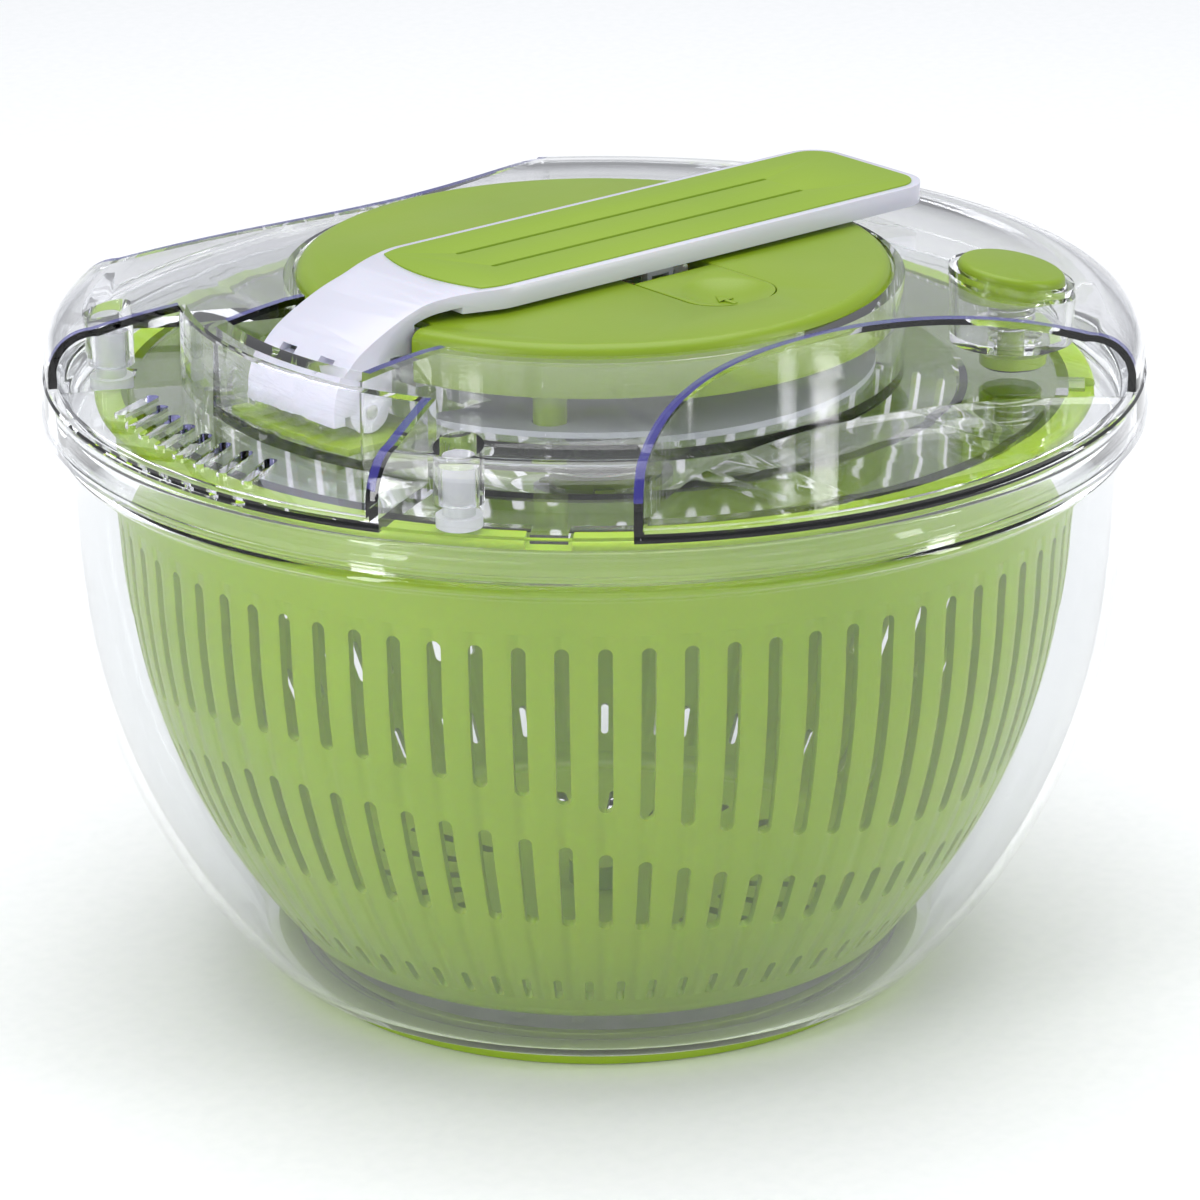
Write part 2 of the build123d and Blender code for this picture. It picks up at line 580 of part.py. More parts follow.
def make_drive_plate():
    """Clear inner lid that turns with the basket; its lugs sit in the basket rim's notches."""
    flat = 86.0
    edges = line((11.0, 119.5), (20.0, 119.5), (flat, PLATE_Z - 1.4), (flat + 2, PLATE_Z))
    edges += line((flat + 2, PLATE_Z), (PLATE_R, PLATE_Z), (PLATE_R, PLATE_Z + PLATE_T))
    edges += line((PLATE_R, PLATE_Z + PLATE_T), (flat, PLATE_Z + PLATE_T), (20.0, 121.8), (11.0, 121.8))
    edges += line((11.0, 121.8), (11.0, 119.5))
    plate = turned(edges)
    for i in range(LUG_COUNT):
        lug = block(PLATE_R - 1, 115.6, -4.2, 4.2, PLATE_Z, PLATE_Z + PLATE_T)
        plate += Rot(0, 0, 45 + 360 / LUG_COUNT * i) * lug
    for i in range(3):
        plate -= Rot(0, 0, 120 * i) * block(9, 13.3, -2.5, 2.5, 119.0, 124.0)
    return plate


# ---- mechanism case ----------------------------------------------------------------------
def make_gear_base():
    """White plate on the lid's deck that carries the axles, the bearings and the rack's rails."""
    base = rod(66.0, DECK_Z, 151.5) - rod(10.9, 149, 153)
    base -= block(-70, -44, -16, 16, 149, 153)
    base += tube(3.6, 1.5, 151.4, 151.7, WHEEL_X, WHEEL_Y)
    for y0, y1 in ((-9.0, -5.4), (14.2, 17.5)):
        post = block(PINION_X - 4, PINION_X + 4, y0, y1, 151.4, 168.0)
        foot = block(PINION_X - 4, PINION_X + 8, y0, y1, DECK_Z, 153.0)
        base += post + foot
    base += block(-32, -14, 3.4, 14.0, 151.4, RACK_Z - 0.3)
    base += block(-32, -14, 3.4, 5.3, 151.4, 158.0) + block(-32, -14, 12.2, 14.0, 151.4, 158.0)
    cuts = [cross_rod(1.5, -20, 30, PINION_X, PINION_Z), rod(1.5, 149, 160, WHEEL_X, WHEEL_Y)]
    cuts += [rod(4.2, 149, 160, *polar(r, a)) for r, a in COVER_SCREWS]
    return base.cut(*cuts)


def make_wheel_axle():
    return rod(1.5, DECK_Z, 160.2, WHEEL_X, WHEEL_Y)


def make_hinge_bracket():
    """Green bracket in the hinge pocket, with a knuckle between the lever's ears."""
    plate = block(-90.0, -67.0, -21.0, 21.0, DECK_Z, 151.6) & rod(POCKET_BACK_R - 0.5, 149, 160)
    bracket = plate
    for y0, y1 in ((-3.1, 2.6), (15.9, 19.9)):
        bracket += cross_rod(KNUCKLE_R, y0, y1, HINGE_X, HINGE_Z)
        bracket += block(HINGE_X - 4.4, HINGE_X + 4.4, y0, y1, 151.0, HINGE_Z)
    bracket -= cross_rod(PIN_R, -30, 30, HINGE_X, HINGE_Z)
    bracket -= rod(0.75, 149, 154, HINGE_X + 4.3, 12.0)
    return bracket


def make_cover():
    """The green disc: it hides the gears and has openings for the sector, neck and lock."""
    edges = line((0, COVER_TOP_Z - COVER_WALL), (0, COVER_TOP_Z), (COVER_R - 3.0, COVER_TOP_Z))
    edges.append(arc((COVER_R - 3.0, COVER_TOP_Z), (COVER_R - 0.88, COVER_TOP_Z - 0.88), (COVER_R, COVER_TOP_Z - 3.0)))
    edges += line((COVER_R, COVER_TOP_Z - 3.0), (COVER_R, COVER_SKIRT_Z), (COVER_R - COVER_WALL, COVER_SKIRT_Z))
    edges += line((COVER_R - COVER_WALL, COVER_SKIRT_Z), (COVER_R - COVER_WALL, COVER_TOP_Z - COVER_WALL))
    edges += line((COVER_R - COVER_WALL, COVER_TOP_Z - COVER_WALL), (0, COVER_TOP_Z - COVER_WALL))
    cover = turned(edges)
    for radius, angle in COVER_SCREWS:
        x, y = polar(radius, angle)
        cover += rod(3.9, DECK_Z, COVER_TOP_Z - 1, x, y)
    cuts = [block(-72, -61.5, -NECK_HALF - 1.2, NECK_HALF + 1.2, 150, 180)]
    cuts.append(block(-72, -46.0, -4.0, 4.0, 150, 180))
    cuts.append(lock_outline(0.3, LOCK_OPENING_Y, 168.0, 180.0))
    cuts += [rod(1.25, DECK_Z - 1, 164.0, *polar(r, a)) for r, a in COVER_SCREWS]
    cover = cover.cut(*cuts)
    tray = lock_outline(2.0, LOCK_OPENING_Y, 167.6, COVER_TOP_Z - 1)
    return cover + (tray - lock_outline(0.3, LOCK_OPENING_Y + 1, 168.8, 180.0))


def make_cover_screw(radius, angle):
    x, y = polar(radius, angle)
    head = rod(3.0, 146.0, DECK_Z - LID_WALL, x, y) - block(x - 2.2, x + 2.2, y - 0.4, y + 0.4, 145, 146.7)
    return head + rod(1.25, 147.0, 160.5, x, y)


# ---- lever lock --------------------------------------------------------------------------
def lock_outline(gap, end_y, z0, z1):
    """The slider's outline, rounded at the thumb's end, as an upright prism; gap widens it."""
    prism = block(LOCK_X0 - gap, LOCK_X1 + gap, LOCK_Y0 - gap, end_y, z0, z1)
    front = prism.edges().filter_by(Axis.Z).sort_by(Axis.Y)[:2]
    return fillet(front, 9.0 + gap)


def make_lock_slider():
    """Thumb slider beside the lever: its tongue enters the window in the lever's catch."""
    slider = lock_outline(0.0, LOCK_Y1, LOCK_LOW_Z, COVER_TOP_Z)
    slider -= Pos(5.5, -41.0, COVER_TOP_Z + 22.0) * Sphere(24.6)
    slider += block(3.0, 7.0, LOCK_Y1 - 1.0, CATCH_Y0 - 0.4, 171.2, 172.4)
    return slider - block(2.0, 8.0, -49.0, -29.0, LOCK_LOW_Z - 1, LOCK_LOW_Z + 0.6)


def make_lock_spring():
    """Leaf under the slider that gives it its two clicks."""
    return block(3.2, 6.8, -48.0, -30.0, 168.8, 169.1)


# ---- brake -------------------------------------------------------------------------------
def make_brake_button():
    """Round crowned cap on a stem that runs through the lid's boss."""
    x, y = polar(*BUTTON_PLACE)
    cap = rod(BUTTON_R, 164.5, 190.0, x, y)
    crown = Pos(0, 0, 3.4) * dome(0.0)
    cap = cap & crown
    rim = [e for e in cap.edges() if e.center().Z > 167]
    cap = fillet(rim, 1.6)
    cap -= rod(BUTTON_R - 2.2, 160, 166.8, x, y)
    stem = rod(3.2, 150.5, 168.0, x, y)
    return cap + stem


def make_brake_spring():
    x, y = polar(*BUTTON_PLACE)
    helix = Helix(1.7, 8.0, 5.4)
    coil = sweep(Plane(origin=helix @ 0, z_dir=helix % 0) * Circle(0.4), helix)
    return Pos(x, y, 157.2) * coil


def make_brake_shoe():
    x, y = polar(*BUTTON_PLACE)
    return rod(7.4, SHOE_Z, 151.6, x, y) - rod(3.2, 150.5, 155, x, y)


def make_brake_pad():
    x, y = polar(*BUTTON_PLACE)
    return rod(6.6, SHOE_Z - 0.6, SHOE_Z, x, y)


# ---- write every part --------------------------------------------------------------------
def build_parts():
    lever = make_lever()
    return {
        "bowl": make_bowl(),
        "foot_ring": make_foot_ring(),
        "pivot_pin": make_pivot_pin(),
        "basket": make_basket(),
        "pivot_bush": make_pivot_bush(),
        "lid": make_lid(),
        "guide_pegs": Compound([make_guide_peg(r, a) for r, a in PEG_PLACES]),
        "lever": lever,
        "lever_pad": make_lever_pad(),
        "drive_sector": make_drive_sector(lever),
        "hinge_pin": make_hinge_pin(),
        "lever_spring": make_lever_spring(),
        "hinge_bracket": make_hinge_bracket(),
        "cover_disc": make_cover(),
        "cover_screws": Compound([make_cover_screw(r, a) for r, a in COVER_SCREWS]),
        "gear_base": make_gear_base(),
        "rack_pinion": make_rack_pinion(),
        "pinion_axle": make_pinion_axle(),
        "rack_slider": make_rack_slider(),
        "wheel_gear": make_wheel_gear(),
        "wheel_axle": make_wheel_axle(),
        "clutch_gear": make_clutch_gear(),
        "clutch_spring": make_clutch_spring(),
        "output_drum": make_output_drum(),
        "output_spindle": make_spindle(),
        "retaining_clip": make_retaining_clip(),
        "spindle_bush": make_spindle_bush(),
        "drive_coupler": make_coupler(),
        "drive_plate": make_drive_plate(),
        "lock_slider": make_lock_slider(),
        "lock_spring": make_lock_spring(),
        "brake_button": make_brake_button(),
        "brake_spring": make_brake_spring(),
        "brake_shoe": make_brake_shoe(),
        "brake_pad": make_brake_pad(),
    }


os.makedirs("parts", exist_ok=True)
for name, shape in build_parts().items():
    export_step(shape, f"parts/{name}.step")
    print(name, round(shape.volume, 1))
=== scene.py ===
# %% [markdown]
# # A lever-driven salad spinner
# The object is a clear bowl on a green foot ring, with a slotted green basket that spins inside it.
# A clear domed lid closes the bowl and carries the drive: a white lever with a soft green pad, a
# green disc over the gears, a small lock slider and a round brake button. We load the imported solids
# first, because every position below is read from them.

# %% Load the frame
import json
import math
import bpy
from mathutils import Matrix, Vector


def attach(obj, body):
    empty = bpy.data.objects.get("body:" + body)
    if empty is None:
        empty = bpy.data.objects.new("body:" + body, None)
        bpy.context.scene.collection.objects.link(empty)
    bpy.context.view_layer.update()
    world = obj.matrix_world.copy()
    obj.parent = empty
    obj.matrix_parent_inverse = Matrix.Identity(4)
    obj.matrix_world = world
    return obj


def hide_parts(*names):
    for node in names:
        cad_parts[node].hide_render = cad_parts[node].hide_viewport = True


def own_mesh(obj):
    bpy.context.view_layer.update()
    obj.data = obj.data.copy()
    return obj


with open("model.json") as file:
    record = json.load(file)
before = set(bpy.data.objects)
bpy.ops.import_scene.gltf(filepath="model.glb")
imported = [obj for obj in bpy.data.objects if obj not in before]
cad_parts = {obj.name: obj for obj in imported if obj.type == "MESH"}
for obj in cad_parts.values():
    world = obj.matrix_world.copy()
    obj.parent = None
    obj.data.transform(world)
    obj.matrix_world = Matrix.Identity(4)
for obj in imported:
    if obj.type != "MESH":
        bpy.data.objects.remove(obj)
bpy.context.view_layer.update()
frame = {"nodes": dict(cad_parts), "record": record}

NODES = frame["nodes"]
bpy.ops.object.select_all(action="DESELECT")

# %% [markdown]
# ## Camera
# A product picture like this is taken with a long lens from a good way off, so that the rims of the
# bowl and lid stay nearly parallel ellipses. The camera looks down by about twenty degrees and stands
# to the left of the lever's hinge, and we aim it at a point on the spin axis, halfway up the object.

# %% Set the camera
AIM = Vector((0.0, 0.0, 0.088))
LOOK_DOWN = math.radians(20.3)
AROUND = math.radians(40.0)
DISTANCE = 1.30
away = Vector((
    -math.sin(AROUND) * math.cos(LOOK_DOWN),
    -math.cos(AROUND) * math.cos(LOOK_DOWN),
    math.sin(LOOK_DOWN),
))
lens = bpy.data.cameras.new("camera")
lens.lens = 162.2
lens.sensor_width = 36.0
lens.shift_x = 0.0033
camera = bpy.data.objects.new("camera", lens)
bpy.context.scene.collection.objects.link(camera)
camera.location = AIM + away * DISTANCE
camera.rotation_mode = "QUATERNION"
camera.rotation_quaternion = (-away).to_track_quat("-Z", "Y")
camera.rotation_mode = "XYZ"
camera.rotation_euler.rotate_axis("Z", math.radians(-0.38))
bpy.context.scene.camera = camera
print("camera at", [round(v, 3) for v in camera.location])

# %% [markdown]
# ## Light
# Clear plastic has almost no colour of its own, so what we see is what it bends and mirrors. A big
# soft box overhead gives the broad sheen on the disc, two tall strips draw the bright lines down the
# bowl's sides, and an even pale surround stands for the white studio.

# %% Add the soft boxes and the pale surround
scene = bpy.context.scene
scene.view_settings.view_transform = "Standard"
scene.world = bpy.data.worlds.new("studio")
scene.world.use_nodes = True
surround = scene.world.node_tree.nodes["Background"]
surround.inputs["Color"].default_value = (0.93, 0.95, 1.0, 1.0)
surround.inputs["Strength"].default_value = 0.56


def soft_box(name, place, size, power, aim=AIM):
    """A rectangular area light that faces aim."""
    lamp = bpy.data.lights.new(name, "AREA")
    lamp.shape = "RECTANGLE"
    lamp.size, lamp.size_y = size
    lamp.energy = power
    box = bpy.data.objects.new(name, lamp)
    bpy.context.scene.collection.objects.link(box)
    box.location = place
    box.rotation_euler = (aim - Vector(place)).to_track_quat("-Z", "Y").to_euler()
    print(name, "power", power)
    return box


soft_box("overhead", (0.1, 0.2, 1.6), (1.6, 1.6), 19.0)
soft_box("left_strip", (-1.25, -0.1, 0.5), (0.16, 1.2), 6.0)
soft_box("right_strip", (0.75, -1.15, 0.5), (0.16, 1.2), 6.0)
soft_box("front_fill", (-0.9, -1.3, 0.45), (1.2, 0.8), 2.0)
scene.cycles.max_bounces = 20
scene.cycles.transmission_bounces = 20
scene.cycles.transparent_max_bounces = 20

# %% [markdown]
# ## Floor
# The spinner stands on a pale sheet that runs far back, so the picture has no horizon. It is staging,
# not part of the object, and its faint speckle keeps it from looking like a computed white.

# %% Wrap shader sockets so that node maths reads like arithmetic
class Value:
    """One output socket of a finish; arithmetic on it adds Math nodes."""

    def __init__(self, finish, socket):
        self.finish = finish
        self.socket = socket

    def math(self, operation, a, b=0.0):
        return self.finish.node("ShaderNodeMath", [a, b], operation=operation)

    def __add__(self, other):
        return self.math("ADD", self, other)

    __radd__ = __add__

    def __mul__(self, other):
        return self.math("MULTIPLY", self, other)

    __rmul__ = __mul__

    def __sub__(self, other):
        return self.math("SUBTRACT", self, other)

    def __rsub__(self, other):
        return self.math("SUBTRACT", other, self)

    def __truediv__(self, other):
        return self.math("DIVIDE", self, other)

    def __pow__(self, other):
        return self.math("POWER", self, other)

    def __gt__(self, other):
        return self.math("GREATER_THAN", self, other)

    def __lt__(self, other):
        return self.math("LESS_THAN", self, other)


# %% Start a finish: a material with one Principled shader
class Finish:
    """A material whose nodes are added by one method."""

    def __init__(self, name, **constants):
        self.material = bpy.data.materials.new(name)
        self.material.use_nodes = True
        self.tree = self.material.node_tree
        self.shader = self.tree.nodes["Principled BSDF"]
        self.output = self.tree.nodes["Material Output"]
        for key, value in constants.items():
            self.shader.inputs[key.replace("_", " ")].default_value = value

    def node(self, kind, inputs=(), output=0, **settings):
        """Adds a node: settings first, then the values or links of its sockets."""
        made = self.tree.nodes.new(kind)
        for key, value in settings.items():
            setattr(made, key, value)
        named = inputs.items() if isinstance(inputs, dict) else enumerate(inputs)
        for key, value in named:
            if isinstance(value, Value):
                self.tree.links.new(value.socket, made.inputs[key])
            else:
                made.inputs[key].default_value = value
        return Value(self, made.outputs[output])

    def place(self):
        """Object coordinates, in metres in the row frame."""
        return self.node("ShaderNodeTexCoord", output="Object")

    def noise(self, size, detail=2.0, where=None):
        """Noise from 0 to 1 whose lumps are about size metres across."""
        where = where or self.place()
        return self.node("ShaderNodeTexNoise", {"Vector": where, "Scale": 1.0 / size, "Detail": detail})

    def ramp(self, factor, low, high, start=0.0, end=1.0):
        """A colour that runs from low to high as factor runs from start to end."""
        made = self.tree.nodes.new("ShaderNodeValToRGB")
        first, last = made.color_ramp.elements
        first.position, first.color = start, (*low, 1.0)
        last.position, last.color = end, (*high, 1.0)
        self.tree.links.new(factor.socket, made.inputs["Fac"])
        return Value(self, made.outputs["Color"])

    def span(self, factor, low, high):
        """A number that runs from low to high as factor runs from 0 to 1."""
        return self.node("ShaderNodeMapRange", {"Value": factor, "To Min": low, "To Max": high})

    def feed(self, **sockets):
        """Links values to the Principled shader's sockets."""
        for key, value in sockets.items():
            self.tree.links.new(value.socket, self.shader.inputs[key.replace("_", " ")])
        return self

    def bump(self, height, distance, strength=1.0):
        """Adds a bump from a height between 0 and 1, distance metres deep."""
        bumped = self.node("ShaderNodeBump", {"Height": height, "Distance": distance, "Strength": strength})
        return self.feed(Normal=bumped)


# %% Lay the floor
bpy.ops.mesh.primitive_plane_add(size=8.0, location=(0.0, 0.0, 0.0))
floor = bpy.context.object
floor.name = "floor"
paper = Finish("pale_floor", Roughness=0.75, Specular_IOR_Level=0.2)
speckle = paper.noise(0.004, 3.0)
paper.feed(Base_Color=paper.ramp(speckle, (0.92, 0.93, 0.93), (0.95, 0.955, 0.955), 0.3, 0.7))
floor.data.materials.append(paper.material)
print("floor laid")

# %% [markdown]
# ## Clear plastic
# The bowl, the lid and the plate under it are moulded in clear styrene. It bends light like glass but
# a little less sharply, and where we look along a wall instead of through it, it shows a blue violet
# tint. Lamps shine through it as if it were open, so that the basket inside is lit.


# %% Mix the clear plastic
def clear_plastic(name, tint, roughness):
    """Clear styrene: it bends light a little, mirrors like a hard gloss, and lets lamps through."""
    clear = Finish(
        name, Base_Color=(*tint, 1.0), Transmission_Weight=1.0, IOR=1.22,
        Coat_Weight=0.8, Coat_Roughness=0.02, Coat_IOR=1.5,
    )
    clear.feed(Roughness=clear.span(clear.noise(0.035, 3.0), roughness * 0.4, roughness * 1.8))
    open_way = clear.node("ShaderNodeBsdfTransparent", {"Color": (*[v**0.5 for v in tint], 1.0)})
    lamp_ray = clear.node("ShaderNodeLightPath", output="Is Shadow Ray")
    clear.solid = Value(clear, clear.shader.outputs[0])
    clear.mixed = clear.node("ShaderNodeMixShader", [lamp_ray, clear.solid, open_way])
    clear.tree.links.new(clear.mixed.socket, clear.output.inputs["Surface"])
    return clear


CLEAR = clear_plastic("clear_styrene", (0.875, 0.885, 0.89), 0.015).material
PLATE_CLEAR = clear_plastic("plate_styrene", (0.985, 0.985, 0.985), 0.03).material
EDGE_CLEAR = clear_plastic("edge_styrene", (0.80, 0.80, 0.95), 0.25).material
print("clear finishes mixed")

# %% [markdown]
# Where a wall of the lid stands on end, light runs down inside it, and its top shows a strong blue
# violet. We find those strips by their distance from the planes and cylinders that the recesses are
# cut by, keep only what faces up, and mix in a coloured plastic there.


# %% Tint the lid where its walls stand on end
lid_clear = clear_plastic("lid_styrene", (0.985, 0.985, 0.998), 0.015)
spot = lid_clear.node("ShaderNodeSeparateXYZ", [lid_clear.place()])
px = Value(lid_clear, spot.socket.node.outputs["X"])
py = Value(lid_clear, spot.socket.node.outputs["Y"])
pz = Value(lid_clear, spot.socket.node.outputs["Z"])
facing = lid_clear.node("ShaderNodeSeparateXYZ", [lid_clear.node("ShaderNodeNewGeometry", output="Normal")])
up = Value(lid_clear, facing.socket.node.outputs["Z"])
side = lid_clear.node("ShaderNodeMath", [py], operation="ABSOLUTE")
from_axis = (px * px + py * py) ** 0.5
to_scoop = ((px + 0.002) * (px + 0.002) + (side - 0.180) * (side - 0.180)) ** 0.5 - 0.1045
to_pocket = side - 0.025
half = math.radians(27.5)
to_tray = side * math.cos(half) + px * math.sin(half)
STRIP = 0.0021


def strip(distance):
    """1 where a distance lies within the wall's thickness."""
    return (distance > 0.0) * (distance < STRIP)


scoop_strip = strip(to_scoop) * (from_axis > 0.073)
pocket_strip = strip(to_pocket) * (px < -0.066) * (from_axis < 0.0918)
tray_strip = strip(to_tray) * (px < 0.0) * (from_axis > 0.0985)
anywhere = lid_clear.node("ShaderNodeMath", [scoop_strip, pocket_strip], operation="MAXIMUM")
anywhere = lid_clear.node("ShaderNodeMath", [anywhere, tray_strip], operation="MAXIMUM")
patchy = lid_clear.span(lid_clear.noise(0.03, 2.0), 0.45, 1.0)
violet_mask = anywhere * (up > 0.3) * (pz > 0.1535) * patchy
violet = lid_clear.node("ShaderNodeBsdfPrincipled", {
    "Base Color": (0.055, 0.05, 0.34, 1.0), "Roughness": 0.12, "Transmission Weight": 0.25,
})
tinted = lid_clear.node("ShaderNodeMixShader", [violet_mask, lid_clear.mixed, violet])
lid_clear.tree.links.new(tinted.socket, lid_clear.output.inputs["Surface"])
LID_CLEAR = lid_clear.material
VIOLET_EDGE = clear_plastic("violet_edge", (0.16, 0.15, 0.55), 0.15).material
print("lid tint strips are", STRIP, "wide")

# %% [markdown]
# ## Green plastics
# The basket is satin polypropylene that lets a little light through. The disc over the gears is a
# harder green with a fine eroded texture on top. The pad on the lever is a soft rubbery green.


# %% Mix the moulded plastics
def moulded(name, dark, light, rough, grain, depth, soft=0.0, coat=0.0):
    """An opaque moulded plastic with slight colour change, fine grain and uneven gloss."""
    plastic = Finish(name, Coat_Weight=coat, Coat_Roughness=0.15, Subsurface_Weight=soft, Subsurface_Scale=0.002)
    broad = plastic.noise(0.05, 2.0)
    fine = plastic.noise(grain, 2.0)
    plastic.feed(Base_Color=plastic.ramp(broad, dark, light, 0.3, 0.7))
    plastic.feed(Roughness=plastic.span(plastic.noise(0.02, 3.0), rough - 0.05, rough + 0.05))
    return plastic.bump(fine, depth).material


DISC_GREEN = moulded("disc_green", (0.20, 0.315, 0.006), (0.225, 0.34, 0.009), 0.36, 0.0006, 0.00003, 0.05)
PAD_GREEN = moulded("pad_green", (0.215, 0.345, 0.008), (0.24, 0.37, 0.012), 0.5, 0.0005, 0.00004)
RING_GREEN = moulded("ring_green", (0.30, 0.45, 0.006), (0.33, 0.48, 0.009), 0.35, 0.0006, 0.00003)
WHITE = moulded("lever_white", (0.60, 0.60, 0.70), (0.64, 0.64, 0.73), 0.3, 0.0008, 0.00001, 0.1, 0.2)
NYLON = moulded("milky_nylon", (0.72, 0.74, 0.72), (0.80, 0.81, 0.79), 0.45, 0.001, 0.00002, 0.3)
MILKY = Finish("milky_peg", Base_Color=(0.80, 0.82, 0.85, 1.0), Transmission_Weight=0.7, IOR=1.45, Roughness=0.4)
MILKY.feed(Base_Color=MILKY.ramp(MILKY.noise(0.004), (0.76, 0.78, 0.82), (0.86, 0.87, 0.9), 0.3, 0.7))
RUBBER = moulded("black_rubber", (0.03, 0.03, 0.03), (0.05, 0.05, 0.05), 0.7, 0.0008, 0.00004)

# %% [markdown]
# The basket's wall is fluted: between one row of slots and the next, each slot runs on as a shallow
# groove. The flutes are far too shallow to model, so a bump draws them from the angle round the axis.


# %% Flute the basket
def fluted():
    green = Finish("basket_green", Specular_IOR_Level=0.25, Subsurface_Weight=0.15, Subsurface_Scale=0.002)
    spot = green.node("ShaderNodeSeparateXYZ", [green.place()]).socket.node
    x, y, z = (Value(green, spot.outputs[axis]) for axis in "XYZ")
    turn = green.node("ShaderNodeMath", [y, x], operation="ARCTAN2")
    wave = green.node("ShaderNodeMath", [(turn + math.radians(129.0)) * 74.0], operation="COSINE")
    on_wall = (z > 0.020) * (z < 0.1215) * ((x * x + y * y) ** 0.5 > 0.078)
    groove = green.node("ShaderNodeMath", [wave * 0.5 + 0.5, 3.0], operation="POWER") * on_wall
    broad = green.noise(0.05, 2.0)
    green.feed(Base_Color=green.ramp(broad, (0.225, 0.365, 0.003), (0.255, 0.395, 0.004), 0.3, 0.7))
    green.feed(Roughness=green.span(green.noise(0.02, 3.0), 0.30, 0.42))
    return green.bump(1.0 - groove + green.noise(0.0015, 2.0) * 0.05, 0.0006).material


BASKET_GREEN = fluted()
print("basket fluted 74 times")

# %% [markdown]
# ## Steel
# The springs, axles and pins are drawn steel wire and rod, bright with faint lines.

# %% Mix the steel
steel = Finish("drawn_steel", Metallic=1.0, Base_Color=(0.70, 0.70, 0.72, 1.0))
steel.feed(Roughness=steel.span(steel.noise(0.0008, 3.0), 0.16, 0.32))
steel.bump(steel.noise(0.0004, 2.0), 0.00001)
STEEL = steel.material

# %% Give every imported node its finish
BY_SLOT = {
    "clear_plastic": CLEAR, "basket_green": BASKET_GREEN, "green_plastic": DISC_GREEN,
    "soft_green": PAD_GREEN, "white_plastic": WHITE, "nylon": NYLON, "steel": STEEL, "rubber": RUBBER,
}
for part in frame["record"]["subparts"]:
    node = NODES[part["node"]]
    for slot in node.material_slots:
        slot.material = BY_SLOT[part["material_slot"]]
for slot in NODES["guide_pegs"].material_slots:
    slot.material = MILKY.material
# The gear base's drum is white and clear plastic; this opaque blue grey is painted shade, for the dimness it sits
# in under the green disc inside the cup.
BASE_PAINTED_SHADE = moulded("base_painted_shade", (0.40, 0.43, 0.45), (0.48, 0.50, 0.54), 0.4, 0.001, 0.00002)
for name, finish in (("gear_base", BASE_PAINTED_SHADE), ("drive_plate", PLATE_CLEAR)):
    for slot in NODES[name].material_slots:
        slot.material = finish
print("finishes on", len(NODES), "nodes")

# %% [markdown]
# ## Tools for the new pieces
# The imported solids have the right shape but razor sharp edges, and sharp edges make clear plastic
# look like a drawing. Three ways give moulded edges. A round piece is an outline traced point by
# point, whose corners are bevelled before it is spun about the axis. The lid is carved from such
# spun blocks by solid cuts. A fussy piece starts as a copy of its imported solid, welded and bevelled.

# %% Select one piece and settle its place into its mesh
MM = 0.001


def only(piece):
    """Makes piece the one selected and active object."""
    if bpy.context.mode != "OBJECT":
        bpy.ops.object.mode_set(mode="OBJECT")
    bpy.ops.object.select_all(action="DESELECT")
    piece.select_set(True)
    bpy.context.view_layer.objects.active = piece
    return piece


def settle(piece):
    """Applies the object's place and size, so that it sits at the origin."""
    only(piece)
    bpy.ops.object.transform_apply(location=True, rotation=True, scale=True)
    return piece


print("one millimetre is", MM, "metres")


# %% Trace an outline and spin it
def arc_points(a, b, c, count):
    """Points along the arc through three (radius, height) points."""
    (ax, az), (bx, bz), (cx, cz) = a, b, c
    turn = 2 * (ax * (bz - cz) + bx * (cz - az) + cx * (az - bz))
    fa, fb, fc = ax**2 + az**2, bx**2 + bz**2, cx**2 + cz**2
    x = (fa * (bz - cz) + fb * (cz - az) + fc * (az - bz)) / turn
    z = (fa * (cx - bx) + fb * (ax - cx) + fc * (bx - ax)) / turn
    radius = math.hypot(ax - x, az - z)
    start = math.atan2(az - z, ax - x)
    sweep = (math.atan2(cz - z, cx - x) - start + math.pi) % (2 * math.pi) - math.pi
    return [
        (x + radius * math.cos(start + sweep * k / count), z + radius * math.sin(start + sweep * k / count))
        for k in range(count + 1)
    ]


def select_corners(piece, ring):
    """Selects the outline's points that turn by more than 25 degrees, away from the axis."""
    bpy.ops.mesh.select_all(action="DESELECT")
    bpy.ops.object.mode_set(mode="OBJECT")
    for i, here in enumerate(ring):
        before, after = ring[i - 1], ring[(i + 1) % len(ring)]
        if here.x > 1e-4 and (here - before).angle(after - here) > math.radians(25):
            for vertex in piece.data.vertices:
                if (vertex.co - here).length < 2e-6:
                    vertex.select = True
    bpy.ops.object.mode_set(mode="EDIT")


def lathe(name, outline, steps=192, corner=0.0):
    """Spins a closed outline of (radius, height) points, in millimetres, into a solid."""
    points = [Vector((r * MM, 0.0, z * MM)) for r, z in outline]
    bpy.ops.object.select_all(action="DESELECT")
    bpy.ops.mesh.primitive_plane_add(size=0.0001, location=points[0])
    piece = settle(bpy.context.object)
    piece.name = name
    bpy.ops.object.mode_set(mode="EDIT")
    bpy.ops.mesh.merge(type="CENTER")
    for here, there in zip(points, points[1:] + points[:1]):
        bpy.ops.mesh.extrude_vertices_move(TRANSFORM_OT_translate={"value": there - here})
    bpy.ops.mesh.select_all(action="SELECT")
    bpy.ops.mesh.remove_doubles(threshold=1e-6)
    if corner:
        select_corners(piece, points)
        bpy.ops.mesh.bevel(offset=corner * MM, segments=3, affect="VERTICES")
    bpy.ops.mesh.select_all(action="SELECT")
    bpy.ops.mesh.spin(steps=steps, angle=2 * math.pi, center=(0, 0, 0), axis=(0, 0, 1))
    bpy.ops.mesh.select_all(action="SELECT")
    bpy.ops.mesh.remove_doubles(threshold=2e-6)
    bpy.ops.mesh.normals_make_consistent(inside=False)
    bpy.ops.object.mode_set(mode="OBJECT")
    bpy.ops.object.shade_smooth_by_angle(angle=math.radians(32))
    print(name, "spun,", len(piece.data.polygons), "faces")
    return piece


